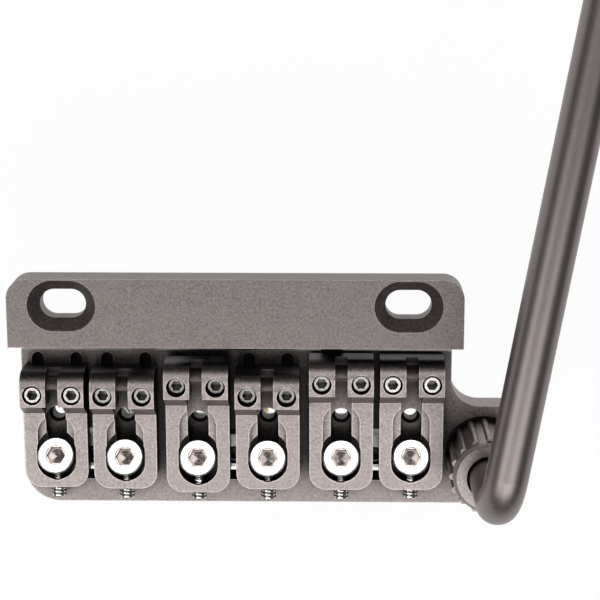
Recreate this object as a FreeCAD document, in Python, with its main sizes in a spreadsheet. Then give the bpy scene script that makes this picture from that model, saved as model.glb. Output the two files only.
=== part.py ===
import FreeCAD, Part
import math
import os
import Sketcher

# Guitar tremolo bridge. X runs across the strings towards the arm, Y along them towards the neck, Z up.
# The origin is midway between the two mounting slots, on the underside of the mounting plate.

SIZES = {
    # Fits and working gaps
    "running_fit": 0.03, "seat_gap": 0.02, "overrun": 1.0,
    # Mounting plate
    "plate_width": 68.0, "plate_front": 4.1, "plate_rear": 6.4, "plate_thickness": 5.0, "plate_corner": 3.0,
    "slot_run": 2.5, "slot_width": 4.4, "sink_width": 7.7, "sink_depth": 2.0,
    # Pivot: bearings in two cheeks under the plate, lugs of the carriage between them
    "pivot_back": 2.4, "pivot_height": 0.6, "lug_inside": 12.7, "lug_width": 3.4, "lug_radius": 2.9,
    "lug_gap": 0.3, "pocket_inside": 9.0, "pocket_front": 0.8, "pocket_height": 3.8,
    "cheek_width": 4.6, "cheek_drop": 3.0, "cheek_wall": 0.9,
    "bearing_radius": 2.5, "bearing_bore": 1.0, "bearing_width": 2.3, "race_wall": 0.5, "ball_radius": 0.24,
    "ball_count": 8, "lug_neck": 3.1,
    # Carriage: the rocking plate with the boss for the arm
    "carriage_drop": 0.5, "carriage_thickness": 4.9, "carriage_left": 33.0, "carriage_right": 32.6,
    "carriage_front": 8.0, "carriage_rear": 32.2, "carriage_corner": 5.5, "boss_front": 16.7,
    "boss_right": 44.1, "boss_corner": 4.0, "boss_rear_corner": 6.0, "boss_fillet": 4.4,
    "collar_well_radius": 6.1, "collar_well_depth": 0.8,
    # Strings: three pairs
    "string_shift": 0.55, "pair_pitch": 21.7, "string_pitch": 10.6, "string_radius": 406.0,
    "string_hole_back": 18.0, "string_hole_radius": 1.0, "string_mouth_radius": 1.45,
    "string_mouth_depth": 0.5, "ball_end_radius": 2.2, "ball_end_depth": 1.8,
    # Saddles, measured from the rear edge of each
    "saddle_rear": 28.9, "saddle_width": 9.6, "saddle_float": 1.15, "deck_height": 3.0, "ear_height": 6.1,
    "ear_length": 5.2, "ear_setback": 13.5, "long_deck": 2.0, "nose_radius": 2.6, "saddle_corner": 2.5,
    "ear_slope": 1.8, "intonation_step": 1.0, "groove_width": 1.9, "gap_floor": 1.3, "ridge_drop": 1.2,
    "ridge_length": 3.1, "ridge_heel": 1.0, "recess_floor": 0.7, "recess_radius": 3.0, "recess_rear": 1.2,
    "recess_reach": 3.4, "track_radius": 2.8, "track_depth": 0.9, "track_inset": 0.4,
    "clamp_slot_radius": 1.6, "clamp_slot_rear": 1.1, "clamp_slot_front": 12.4,
    # Height screws and the grooves that their tips stand in
    "height_screw_radius": 1.45, "height_screw_length": 7.5, "height_screw_spacing": 5.86,
    "height_screw_inset": 1.8, "height_tip_radius": 0.75, "height_tip_length": 2.1, "height_chamfer": 0.3,
    "height_hex": 0.87, "height_hex_depth": 1.6,
    "tip_groove_width": 1.8, "tip_groove_depth": 1.5, "tip_groove_front": 8.4, "tip_groove_rear": 16.4,
    # Clamp screws, leaning towards the neck
    "clamp_back": 23.5, "clamp_tilt": 24.0, "clamp_head_radius": 2.75, "clamp_head_height": 2.2,
    "clamp_head_gap": 0.15, "clamp_hole_spare": 0.5, "clamp_shank_radius": 1.45, "clamp_shank_length": 6.0,
    "clamp_chamfer": 0.25, "clamp_hex": 1.45, "clamp_hex_depth": 1.3,
    # Intonation screws through the rear of the saddles
    "set_screw_radius": 1.15, "set_screw_height": 1.5, "set_screw_rear": 30.8, "set_screw_gap": 0.25,
    "set_screw_chamfer": 0.25, "set_hex": 0.75, "set_hex_depth": 1.2,
    # Spring windows, tension blocks and studs
    "window_width": 4.6, "window_front": 20.4, "window_rear": 28.6, "window_corner": 1.0,
    "stud_back": 24.9, "stud_radius": 1.4, "stud_top": 1.0, "stud_length": 30.0, "stud_hex": 0.87,
    "stud_hex_depth": 1.6, "block_width": 4.2, "block_front": 3.3, "block_rear": 1.9, "block_top": 0.7,
    "block_height": 3.4, "trunnion_radius": 1.3, "trunnion_length": 7.6, "trunnion_gap": 0.1,
    "trunnion_drop": 2.4, "seat_front": 0.4, "seat_rear": 0.7,
    # Spring frame, fixed under the plate by four spaced screws
    "frame_drop": 8.6, "frame_thickness": 3.3, "frame_pad_width": 17.6, "frame_pad_front": 1.2,
    "frame_pad_rear": 6.6, "spine_width": 5.6, "bar_width": 53.0, "bar_front": 21.2, "bar_rear": 28.6,
    "frame_corner": 1.2, "front_screw_spacing": 12.6, "rear_screw_spacing": 4.8, "front_screw_back": 1.2,
    "rear_screw_back": 4.2,
    "frame_screw_radius": 1.2, "frame_head_radius": 2.2, "frame_head_height": 2.2, "frame_screw_bite": 3.4,
    "frame_hex": 1.15, "frame_hex_depth": 1.2, "spacer_radius": 2.2,
    "stud_hole_gap": 0.3,
    # Hold-down springs and the cups under them
    "stud_tail": 3.6, "spring_radius": 3.1, "wire_radius": 0.55, "spring_turns": 6,
    "cup_radius": 4.2, "cup_thickness": 2.0, "cup_pilot_radius": 2.2, "cup_pilot_height": 1.4,
    # Arm, its socket, bush and collar
    "arm_across": 37.7, "arm_back": 24.35, "arm_radius": 3.0, "arm_height": 27.0, "arm_bend": 5.5,
    "arm_yaw": 9.9, "arm_reach": 112.0, "arm_depth": 11.0, "socket_radius": 4.6, "socket_bore": 3.6,
    "socket_top": 6.5, "socket_floor": 1.2, "socket_flange": 6.0, "socket_flange_height": 2.0,
    "bush_flange": 0.5, "collar_radius": 5.35, "collar_bore": 3.4, "collar_top": 11.4, "collar_base": 0.3,
    "collar_shoulder": 7.05, "collar_chamfer": 0.5, "ridge_count": 16, "ridge_radius": 5.85,
    "ridge_width": 1.0, "ridge_foot": 0.7, "ridge_top_drop": 0.9,
}
SLOT_SHARE = 0.37
INTONATION_SHARES = (0.0, 0.0, -0.45, 0.1, 0.0, -0.15)
LONG_DECKS = (False, False, True, False, True, True)
PAIRS = (-1, 0, 1)
SIDES = {"left": -1, "right": 1}

doc = FreeCAD.newDocument("tremolo_bridge")
sheet = doc.addObject("Spreadsheet::Sheet", "dims")


class Size:
    """A length worked out from the sheet: its number, and the expression that binds it to the cells."""

    def __init__(self, value, text):
        self.value = value
        self.text = text

    def _joined(self, other, sign, number):
        text = other.text if isinstance(other, Size) else repr(other)
        return Size(number, f"({self.text} {sign} {text})")

    def __add__(self, other):
        return self._joined(other, "+", self.value + number_of(other))

    def __sub__(self, other):
        return self._joined(other, "-", self.value - number_of(other))

    def __mul__(self, other):
        return self._joined(other, "*", self.value * number_of(other))

    def __truediv__(self, other):
        return self._joined(other, "/", self.value / number_of(other))

    def __neg__(self):
        return Size(-self.value, f"(0 - {self.text})")

    __radd__ = __add__
    __rmul__ = __mul__


def number_of(size):
    return size.value if isinstance(size, Size) else size


def fill_sheet():
    """Writes the sizes to the sheet and gives them back as Size objects by name."""
    for row, (name, value) in enumerate(SIZES.items(), start=1):
        sheet.set(f"A{row}", name)
        sheet.set(f"B{row}", str(value))
        sheet.setAlias(f"B{row}", name)
    doc.recompute()
    return {name: Size(float(sheet.get(name)), f"dims.{name}") for name in SIZES}


d = fill_sheet()
ZERO = Size(0.0, "0")
BALLS = int(d["ball_count"].value)
RIDGES = int(d["ridge_count"].value)
TURNS = int(d["spring_turns"].value)
TILT = math.radians(d["clamp_tilt"].value)
TURN_TO = {
    "Z": FreeCAD.Rotation(),
    "X": FreeCAD.Rotation(FreeCAD.Vector(0, 1, 0), 90),
    "Y": FreeCAD.Rotation(FreeCAD.Vector(1, 0, 0), -90),
}


# Building blocks

def bind(item, prop, size):
    if isinstance(size, Size):
        item.setExpression(prop, size.text)


def place(item, at, rotation=None):
    """Puts an object at a point whose coordinates stay bound to the sheet."""
    numbers = [number_of(c) for c in at]
    item.Placement = FreeCAD.Placement(FreeCAD.Vector(*numbers), rotation or FreeCAD.Rotation())
    for axis, size in zip("xyz", at):
        bind(item, f"Placement.Base.{axis}", size)
    return item


def block(x, y, z):
    """A box between pairs of limits."""
    item = doc.addObject("Part::Box", "block")
    for prop, (low, high) in zip(("Length", "Width", "Height"), (x, y, z)):
        bind(item, prop, high - low)
    return place(item, (x[0], y[0], z[0]))


def rod(radius, length, at, axis="Z", rotation=None):
    item = doc.addObject("Part::Cylinder", "rod")
    bind(item, "Radius", radius)
    bind(item, "Height", length)
    return place(item, at, rotation or TURN_TO[axis])


def taper(radius_low, radius_high, length, at, axis="Z"):
    item = doc.addObject("Part::Cone", "taper")
    bind(item, "Radius1", radius_low)
    bind(item, "Radius2", radius_high)
    bind(item, "Height", length)
    return place(item, at, TURN_TO[axis])


def hexagon(circumradius, length, at, axis="Z"):
    item = doc.addObject("Part::Prism", "hexagon")
    item.Polygon = 6
    bind(item, "Circumradius", circumradius)
    bind(item, "Height", length)
    return place(item, at, TURN_TO[axis])


def fuse(pieces):
    if len(pieces) == 1:
        return pieces[0]
    item = doc.addObject("Part::MultiFuse", "fused")
    item.Shapes = pieces
    return item


def cut(base, tools):
    item = doc.addObject("Part::Cut", "cut")
    item.Base = base
    item.Tool = fuse(tools)
    return item


def common(first, second):
    item = doc.addObject("Part::Common", "common")
    item.Base = first
    item.Tool = second
    return item


def group(pieces):
    """Separate identical solids that share one node."""
    item = doc.addObject("Part::Compound", "group")
    item.Links = pieces
    return item


def name_part(item, label):
    item.Label = label
    PARTS.append(item)
    return item


def toward(a, b):
    """The axis direction, as -1, 0 or 1, from one number to another."""
    gap = number_of(b) - number_of(a)
    return 0 if abs(gap) < 1e-9 else int(math.copysign(1, gap))


def draw_outline(sketch, corners):
    """Draws a closed outline of upright and level edges. Each corner is (across, up, rounding radius)."""
    count = len(corners)
    starts, arcs = [], []
    for i, (u, v, radius) in enumerate(corners):
        before, after = corners[i - 1], corners[(i + 1) % count]
        entry = (u - radius * toward(before[0], u), v - radius * toward(before[1], v))
        leave = (u + radius * toward(u, after[0]), v + radius * toward(v, after[1]))
        starts.append(entry)
        if number_of(radius) > 0:
            middle = (entry[0] + leave[0] - u, entry[1] + leave[1] - v)
            arcs.append((len(starts) - 1, middle, radius))
            starts.append(leave)
    draw_segments(sketch, starts, {index: (middle, radius) for index, middle, radius in arcs})


def vector(point):
    return FreeCAD.Vector(number_of(point[0]), number_of(point[1]), 0)


def draw_segments(sketch, points, arcs):
    """Joins points in turn by lines, or by an arc about a centre where arcs names the segment."""
    count = len(points)
    ends = []
    for i, point in enumerate(points):
        start, finish = vector(point), vector(points[(i + 1) % count])
        if i in arcs:
            middle, radius = vector(arcs[i][0]), arcs[i][1]
            out, back = start - middle, finish - middle
            forward = out.cross(back).z > 0
            first, last = (out, back) if forward else (back, out)
            circle = Part.Circle(middle, FreeCAD.Vector(0, 0, 1), number_of(radius))
            opening, closing = math.atan2(first.y, first.x), math.atan2(last.y, last.x)
            index = sketch.addGeometry(Part.ArcOfCircle(circle, opening, closing))
            ends.append((index, 1, 2) if forward else (index, 2, 1))
            label = sketch.addConstraint(Sketcher.Constraint("Radius", index, number_of(radius)))
            bind(sketch, f"Constraints[{label}]", radius)
        else:
            ends.append((sketch.addGeometry(Part.LineSegment(start, finish)), 1, 2))
    for i, (index, first, last) in enumerate(ends):
        follower = ends[(i + 1) % count]
        sketch.addConstraint(Sketcher.Constraint("Coincident", index, last, follower[0], follower[1]))
        for kind, size in zip(("DistanceX", "DistanceY"), points[i]):
            label = sketch.addConstraint(Sketcher.Constraint(kind, index, first, number_of(size)))
            bind(sketch, f"Constraints[{label}]", size)


def padded(plane, corners, start, length):
    """A body padded from an outline on one of its own origin planes, from start along the plane's normal."""
    body = doc.addObject("PartDesign::Body", "body")
    sketch = body.newObject("Sketcher::SketchObject", "outline")
    support = next(f for f in body.Origin.OriginFeatures if f.Role == plane)
    sketch.AttachmentSupport = [(support, "")]
    sketch.MapMode = "FlatFace"
    sketch.AttachmentOffset = FreeCAD.Placement(FreeCAD.Vector(0, 0, number_of(start)), FreeCAD.Rotation())
    bind(sketch, "AttachmentOffset.Base.z", start)
    draw_outline(sketch, corners)
    pad = body.newObject("PartDesign::Pad", "pad")
    pad.Profile = sketch
    pad.Length = number_of(length)
    bind(pad, "Length", length)
    body.Tip = pad
    return body


def stadium(width, run, centre, low, high, along="X"):
    """A round-ended slot as a cutter: two rods and the block between them."""
    x, y = centre
    half_run, radius = run / 2, width / 2
    if along == "X":
        middle = block((x - half_run, x + half_run), (y - radius, y + radius), (low, high))
        ends = [(x - half_run, y), (x + half_run, y)]
    else:
        middle = block((x - radius, x + radius), (y - half_run, y + half_run), (low, high))
        ends = [(x, y - half_run), (x, y + half_run)]
    return [middle] + [rod(radius, high - low, (u, v, low)) for u, v in ends]


# Places that several pieces share

PARTS = []
PIVOT_Y = -d["pivot_back"]
PIVOT_Z = d["pivot_height"]
CARRIAGE_TOP = -d["carriage_drop"]
CARRIAGE_BOTTOM = CARRIAGE_TOP - d["carriage_thickness"]
FRAME_TOP = -d["frame_drop"]
FRAME_BOTTOM = FRAME_TOP - d["frame_thickness"]
CHEEK_INSIDE = d["lug_inside"] + d["lug_width"] + d["lug_gap"]
CHEEK_OUTSIDE = CHEEK_INSIDE + d["cheek_width"]
SLOT_X = CHEEK_OUTSIDE + (d["plate_width"] / 2 - CHEEK_OUTSIDE) * SLOT_SHARE
BORE_RADIUS = d["bearing_radius"] + d["running_fit"]
TRUNNION_Z = CARRIAGE_TOP - d["trunnion_drop"]
STUD_Y = -d["stud_back"]
ARM_X = d["arm_across"]
ARM_Y = -d["arm_back"]
GROOVE_FLOOR = CARRIAGE_TOP - d["tip_groove_depth"]
STUD_TOP = CARRIAGE_TOP - d["stud_top"]
CUP_LOW = STUD_TOP - d["stud_length"] + d["stud_tail"]
SPRING_SEAT = CUP_LOW + d["cup_thickness"]
SPRING_LENGTH = FRAME_BOTTOM - SPRING_SEAT


def pair_x(pair):
    """The place across of a pair of strings and of the hold-down spring between them."""
    return d["pair_pitch"] * pair - d["string_shift"]


def string_x(k):
    """The place across of string k, from 0 at the left to 5: three pairs of strings."""
    return pair_x(k // 2 - 1) + d["string_pitch"] / 2 * (2 * (k % 2) - 1)


def underside(k):
    """The height of saddle k's underside: the saddles follow the curve of the fingerboard."""
    across = string_x(k) - pair_x(0)
    return CARRIAGE_TOP + d["saddle_float"] - across * across / (d["string_radius"] * 2)


def rear_edge(k):
    return d["intonation_step"] * INTONATION_SHARES[k] - d["saddle_rear"]


def ear_wall(k):
    """How far the rear wall of the ears stands in front of saddle k's rear edge."""
    return d["ear_setback"] + d["long_deck"] if LONG_DECKS[k] else d["ear_setback"] + ZERO


def clamp_top(k):
    """The height of the middle of clamp screw k's face, over the recess floor of its saddle."""
    reach = d["clamp_head_radius"] * math.sin(TILT) + d["clamp_head_height"] * math.cos(TILT)
    return underside(k) + d["recess_floor"] + d["clamp_head_gap"] + reach


def clamp_turn():
    return FreeCAD.Rotation(FreeCAD.Vector(1, 0, 0), -d["clamp_tilt"].value)


def frame_screw_places():
    """Two screws abreast in front and two closer together behind, so that the four heads clear each other."""
    front, rear = d["front_screw_spacing"] / 2, d["rear_screw_spacing"] / 2
    rows = ((front, -d["front_screw_back"]), (rear, -d["rear_screw_back"]))
    return [(half * side, y) for side in SIDES.values() for half, y in rows]


def span(side, inside, outside):
    """Limits along X of what lies between two distances from the middle, on one side."""
    return (inside * side, outside * side) if side > 0 else (outside * side, inside * side)


# Mounting plate

def make_mounting_plate():
    half = d["plate_width"] / 2
    front, rear, corner = d["plate_front"] + ZERO, -d["plate_rear"], d["plate_corner"]
    corners = [(-half, rear, ZERO), (half, rear, ZERO), (half, front, corner), (-half, front, corner)]
    pieces = [padded("XY_Plane", corners, ZERO, d["plate_thickness"])]
    tools = []
    top = d["plate_thickness"]
    for side in SIDES.values():
        centre = (SLOT_X * side, ZERO)
        tools += stadium(d["slot_width"], d["slot_run"], centre, -d["overrun"], top + d["overrun"])
        tools += countersink(centre, top)
        cheek_x = span(side, CHEEK_INSIDE, CHEEK_OUTSIDE)
        reach = BORE_RADIUS + d["cheek_wall"]
        pieces.append(block(cheek_x, (PIVOT_Y - reach, PIVOT_Y + reach), (-d["cheek_drop"], top / 2)))
        pocket_x = span(side, d["pocket_inside"], CHEEK_INSIDE)
        pocket_y = (-d["plate_rear"] - d["overrun"], d["pocket_front"] + ZERO)
        tools.append(block(pocket_x, pocket_y, (-d["overrun"], d["pocket_height"] + ZERO)))
        bore_x = span(side, CHEEK_INSIDE, CHEEK_INSIDE + d["bearing_width"])
        tools.append(rod(BORE_RADIUS, d["bearing_width"], (bore_x[0], PIVOT_Y, PIVOT_Z), "X"))
    for x, y in frame_screw_places():
        depth = d["frame_screw_bite"] + d["seat_gap"] + d["overrun"]
        tools.append(rod(d["frame_screw_radius"] + d["running_fit"], depth, (x, y, -d["overrun"])))
    return name_part(cut(fuse(pieces), tools), "mounting_plate")


def countersink(centre, top):
    """The sloped mouth of a mounting slot: two cones and the wedge between them."""
    x, y = centre
    low, high = d["slot_width"] / 2, d["sink_width"] / 2
    floor = top - d["sink_depth"]
    half_run = d["slot_run"] / 2
    cones = [taper(low, high, d["sink_depth"], (x + half_run * side, y, floor)) for side in SIDES.values()]
    values = {
        "Xmin": -half_run, "Xmax": half_run + ZERO, "X2min": -half_run, "X2max": half_run + ZERO,
        "Ymin": ZERO, "Ymax": d["sink_depth"] + ZERO,
        "Zmin": -low, "Zmax": low + ZERO, "Z2min": -high, "Z2max": high + ZERO,
    }
    upright = FreeCAD.Rotation(FreeCAD.Vector(1, 0, 0), 90)
    return cones + [wedge(values, (x, y, floor), upright)]


# Pivot bearings and pins

def make_bearing(name, side):
    x = span(side, CHEEK_INSIDE, CHEEK_INSIDE + d["bearing_width"])[0]
    width = d["bearing_width"]
    at = (x, PIVOT_Y, PIVOT_Z)
    outer = rod(d["bearing_radius"], width, at, "X")
    track = rod(d["bearing_radius"] - d["race_wall"], width, at, "X")
    name_part(cut(outer, [track]), f"bearing_outer_{name}")
    inner_radius = d["bearing_bore"] + d["race_wall"] - d["seat_gap"]
    ring = cut(rod(inner_radius, width, at, "X"), [rod(d["bearing_bore"], width, at, "X")])
    pitch = (inner_radius + d["bearing_radius"] - d["race_wall"]) / 2
    balls = []
    for i in range(BALLS):
        angle = 2 * math.pi * i / BALLS
        ball = doc.addObject("Part::Sphere", "ball")
        bind(ball, "Radius", d["ball_radius"])
        centre_y = PIVOT_Y + pitch * math.cos(angle)
        centre_z = PIVOT_Z + pitch * math.sin(angle)
        balls.append(place(ball, (x + width / 2, centre_y, centre_z)))
    name_part(group([ring] + balls), f"bearing_inner_{name}")


def make_pivot_pin(name, side):
    outside = CHEEK_INSIDE + d["bearing_width"] - d["seat_gap"]
    x = span(side, d["lug_inside"], outside)[0]
    radius = d["bearing_bore"] - d["running_fit"]
    pin = rod(radius, outside - d["lug_inside"], (x, PIVOT_Y, PIVOT_Z), "X")
    name_part(pin, f"pivot_pin_{name}")


# Carriage

def make_carriage():
    corners = [
        (-d["carriage_left"], -d["carriage_front"], ZERO),
        (-d["carriage_left"], -d["carriage_rear"], d["carriage_corner"]),
        (d["boss_right"] + ZERO, -d["carriage_rear"], d["boss_rear_corner"]),
        (d["boss_right"] + ZERO, -d["boss_front"], d["boss_corner"]),
        (d["carriage_right"] + ZERO, -d["boss_front"], d["boss_fillet"]),
        (d["carriage_right"] + ZERO, -d["carriage_front"], ZERO),
    ]
    pieces = [padded("XY_Plane", corners, CARRIAGE_BOTTOM, d["carriage_thickness"])]
    tools = []
    for side in SIDES.values():
        x = span(side, d["lug_inside"], d["lug_inside"] + d["lug_width"])
        pieces.append(rod(d["lug_radius"], d["lug_width"], (x[0], PIVOT_Y, PIVOT_Z), "X"))
        neck_y = (-d["carriage_front"] - d["overrun"], PIVOT_Y)
        pieces.append(block(x, neck_y, (CARRIAGE_TOP - d["lug_neck"], CARRIAGE_TOP)))
        tools.append(rod(d["bearing_bore"], d["lug_width"], (x[0], PIVOT_Y, PIVOT_Z), "X"))
    for k in range(len(LONG_DECKS)):
        tools += string_cutters(k)
    for pair in PAIRS:
        tools += window_cutters(pair)
    socket_hole = d["socket_radius"] + d["running_fit"]
    depth = d["carriage_thickness"] + d["overrun"] * 2
    tools.append(rod(socket_hole, depth, (ARM_X, ARM_Y, CARRIAGE_BOTTOM - d["overrun"])))
    well = d["collar_well_depth"]
    tools.append(rod(d["collar_well_radius"], well + d["overrun"], (ARM_X, ARM_Y, CARRIAGE_TOP - well)))
    return name_part(cut(fuse(pieces), tools), "carriage")


def string_cutters(k):
    """What one string needs in the carriage: a flared hole, a ball-end seat, tip grooves, a clamp hole."""
    x = string_x(k)
    y = -d["string_hole_back"]
    depth = d["carriage_thickness"] + d["overrun"] * 2
    low = CARRIAGE_BOTTOM - d["overrun"]
    mouth = d["string_mouth_depth"]
    tools = [
        rod(d["string_hole_radius"], depth, (x, y, low)),
        rod(d["ball_end_radius"], d["ball_end_depth"] + d["overrun"], (x, y, low)),
        taper(d["string_hole_radius"], d["string_mouth_radius"], mouth, (x, y, CARRIAGE_TOP - mouth)),
    ]
    width = d["tip_groove_width"]
    run = d["tip_groove_rear"] - d["tip_groove_front"] - width
    middle = -(d["tip_groove_rear"] + d["tip_groove_front"]) / 2
    for side in SIDES.values():
        across = x + d["height_screw_spacing"] / 2 * side
        tools += stadium(width, run, (across, middle), GROOVE_FLOOR, CARRIAGE_TOP + d["overrun"], "Y")
    length = d["clamp_head_height"] + d["clamp_shank_length"] + d["clamp_hole_spare"]
    at = (x, -d["clamp_back"] - length * math.sin(TILT), clamp_top(k) - length * math.cos(TILT))
    radius = d["clamp_shank_radius"] + d["running_fit"]
    tools.append(rod(radius, length, at, rotation=clamp_turn()))
    return tools


def window_cutters(pair):
    """The window of one hold-down spring and the open notch that its trunnion swings in."""
    x = pair_x(pair)
    low, high = CARRIAGE_BOTTOM - d["overrun"], CARRIAGE_TOP + d["overrun"]
    half = d["window_width"] / 2
    front, rear, corner = -d["window_front"], -d["window_rear"], d["window_corner"]
    left, right = x - half, x + half
    corners = [(left, rear, corner), (right, rear, corner), (right, front, corner), (left, front, corner)]
    window = padded("XY_Plane", corners, low, high - low)
    radius = d["trunnion_radius"] + d["trunnion_gap"]
    reach = d["trunnion_length"] / 2 + d["trunnion_gap"]
    front, rear = STUD_Y + d["seat_front"], STUD_Y - d["seat_rear"]
    across = (x - reach, x + reach)
    seats = [rod(radius, reach * 2, (x - reach, y, TRUNNION_Z), "X") for y in (front, rear)]
    seats.append(block(across, (rear, front), (TRUNNION_Z - radius, TRUNNION_Z)))
    mouth = block(across, (rear - radius, front + radius), (TRUNNION_Z, high))
    return [window, mouth] + seats


# Saddles and their screws

def make_saddle(k):
    """One saddle, drawn about its own rear edge, string line and underside, then put in its place."""
    wall = ear_wall(k)
    front = wall + d["ear_length"]
    half = d["saddle_width"] / 2
    side_view = [
        (ZERO, ZERO, ZERO), (front, ZERO, ZERO), (front, d["ear_height"] + ZERO, d["nose_radius"]),
        (wall, d["ear_height"] + ZERO, ZERO), (wall, d["deck_height"] + ZERO, ZERO),
        (ZERO, d["deck_height"] + ZERO, ZERO),
    ]
    profile = padded("YZ_Plane", side_view, -half, d["saddle_width"])
    plan = [
        (-half, ZERO, d["saddle_corner"]), (half + ZERO, ZERO, d["saddle_corner"]),
        (half + ZERO, front, ZERO), (-half, front, ZERO),
    ]
    outline = padded("XY_Plane", plan, ZERO, d["ear_height"])
    body = fuse([common(profile, outline), ear_slope(wall)])
    head = -d["clamp_back"] - rear_edge(k)
    saddle = cut(body, saddle_cutters(wall, head) + string_ramp(wall, front))
    place(saddle, (string_x(k), rear_edge(k), underside(k)))
    return name_part(saddle, f"saddle_{k + 1}")


def wedge(values, at, rotation=None):
    """A tapering block: the X and Z limits change from one Y face to the other."""
    item = doc.addObject("Part::Wedge", "wedge")
    for prop, size in values.items():
        setattr(item, prop, number_of(size))
        bind(item, prop, size)
    return place(item, at, rotation)


def ear_slope(wall):
    """The rear of the ears leans back to the deck."""
    half = d["saddle_width"] / 2
    rise = d["ear_height"] - d["deck_height"]
    values = {
        "Xmin": -half, "Xmax": half + ZERO, "X2min": -half, "X2max": half + ZERO,
        "Ymin": ZERO, "Ymax": d["ear_slope"] + ZERO, "Zmin": ZERO, "Zmax": rise, "Z2min": ZERO, "Z2max": ZERO,
    }
    about_face = FreeCAD.Rotation(FreeCAD.Vector(0, 0, 1), 180)
    return wedge(values, (ZERO, wall, d["deck_height"] + ZERO), about_face)


def saddle_cutters(wall, head):
    """The pocket of the clamp head, the track in front of it, the clamp slot and the three screw holes."""
    top = d["ear_height"] + d["overrun"]
    floor = d["recess_floor"]
    radius = d["recess_radius"]
    rear = d["recess_rear"] + radius
    ahead = head + d["recess_reach"] - radius
    tools = stadium(radius * 2, ahead - rear, (ZERO, (ahead + rear) / 2), floor, top, "Y")
    track = d["track_radius"]
    track_front = wall - d["ear_slope"] - d["track_inset"] - track
    track_floor = d["deck_height"] - d["track_depth"]
    tools += stadium(track * 2, track_front - rear, (ZERO, (track_front + rear) / 2), track_floor, top, "Y")
    slot_radius = d["clamp_slot_radius"]
    run = d["clamp_slot_front"] - d["clamp_slot_rear"] - slot_radius * 2
    middle = (d["clamp_slot_front"] + d["clamp_slot_rear"]) / 2
    tools += stadium(slot_radius * 2, run, (ZERO, middle), -d["overrun"], d["deck_height"] + ZERO, "Y")
    bore = d["height_screw_radius"] + d["running_fit"]
    for side in SIDES.values():
        across = d["height_screw_spacing"] / 2 * side
        screw_y = wall + d["height_screw_inset"]
        tools.append(rod(bore, top + d["overrun"], (across, screw_y, -d["overrun"])))
    reach = d["recess_rear"] + d["overrun"] + radius
    thread = d["set_screw_radius"] + d["running_fit"]
    tools.append(rod(thread, reach, (ZERO, -d["overrun"], d["set_screw_height"]), "Y"))
    return tools


def string_ramp(wall, front):
    """The gap between the ears, deep behind the string's rounded ridge and shallow over it."""
    half = d["groove_width"] / 2
    top = d["ear_height"] + d["overrun"]
    ridge_y = front - d["ridge_length"]
    channel = d["clamp_slot_radius"]
    slot_end = d["clamp_slot_front"] - channel
    deep = block((-half, half), (slot_end, ridge_y), (d["gap_floor"], top))
    mouth = block((-channel, channel), (slot_end, wall), (d["gap_floor"], top))
    crown = d["ear_height"] - d["ridge_drop"]
    radius = d["nose_radius"]
    over = [
        (ridge_y, top, ZERO), (ridge_y, crown, ZERO), (front - radius, crown, ZERO),
        (front - radius, top, ZERO),
    ]
    flat = padded("YZ_Plane", over, -half, half * 2)
    nose = block((-half, half), (front - radius, front + d["overrun"]), (crown - radius, top))
    round_off = rod(radius, half * 2, (-half, front - radius - d["ridge_drop"], crown - radius), "X")
    heel = d["ridge_heel"]
    behind = block((-half, half), (ridge_y, ridge_y + heel), (crown - heel, crown + ZERO))
    heel_round = rod(heel, half * 2, (-half, ridge_y + heel, crown - heel), "X")
    return [deep, mouth, flat, cut(nose, [round_off]), cut(behind, [heel_round])]


def make_height_screws(k):
    """Two grub screws in the ears: a dog tip that stands in a groove, and a hex socket in the top."""
    bottom = GROOVE_FLOOR + d["seat_gap"]
    y = rear_edge(k) + ear_wall(k) + d["height_screw_inset"]
    screws = []
    for side in SIDES.values():
        x = string_x(k) + d["height_screw_spacing"] / 2 * side
        screws.append(grub_screw((x, y, bottom)))
    return name_part(group(screws), f"height_screws_{k + 1}")


def grub_screw(at):
    x, y, bottom = at
    radius, chamfer = d["height_screw_radius"], d["height_chamfer"]
    shank = d["height_screw_length"] - d["height_tip_length"] - chamfer * 2
    tip_top = bottom + d["height_tip_length"]
    pieces = [
        rod(d["height_tip_radius"], d["height_tip_length"] + chamfer, (x, y, bottom)),
        taper(radius - chamfer, radius, chamfer, (x, y, tip_top)),
        rod(radius, shank, (x, y, tip_top + chamfer)),
        taper(radius, radius - chamfer, chamfer, (x, y, tip_top + chamfer + shank)),
    ]
    top = bottom + d["height_screw_length"]
    depth = d["height_hex_depth"]
    return cut(fuse(pieces), [hexagon(d["height_hex"], depth + d["overrun"], (x, y, top - depth))])


def make_clamp_screw(k):
    """A cap screw, drawn down from the middle of its face and then leaned towards the neck."""
    radius, height, chamfer = d["clamp_head_radius"], d["clamp_head_height"], d["clamp_chamfer"]
    shank = d["clamp_shank_length"]
    pieces = [
        taper(radius, radius - chamfer, chamfer, (ZERO, ZERO, -chamfer)),
        rod(radius, height - chamfer, (ZERO, ZERO, -height)),
        rod(d["clamp_shank_radius"], shank, (ZERO, ZERO, -height - shank)),
    ]
    depth = d["clamp_hex_depth"]
    screw = cut(fuse(pieces), [hexagon(d["clamp_hex"], depth + d["overrun"], (ZERO, ZERO, -depth))])
    place(screw, (string_x(k), -d["clamp_back"], clamp_top(k)), clamp_turn())
    return name_part(screw, f"clamp_screw_{k + 1}")


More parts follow.
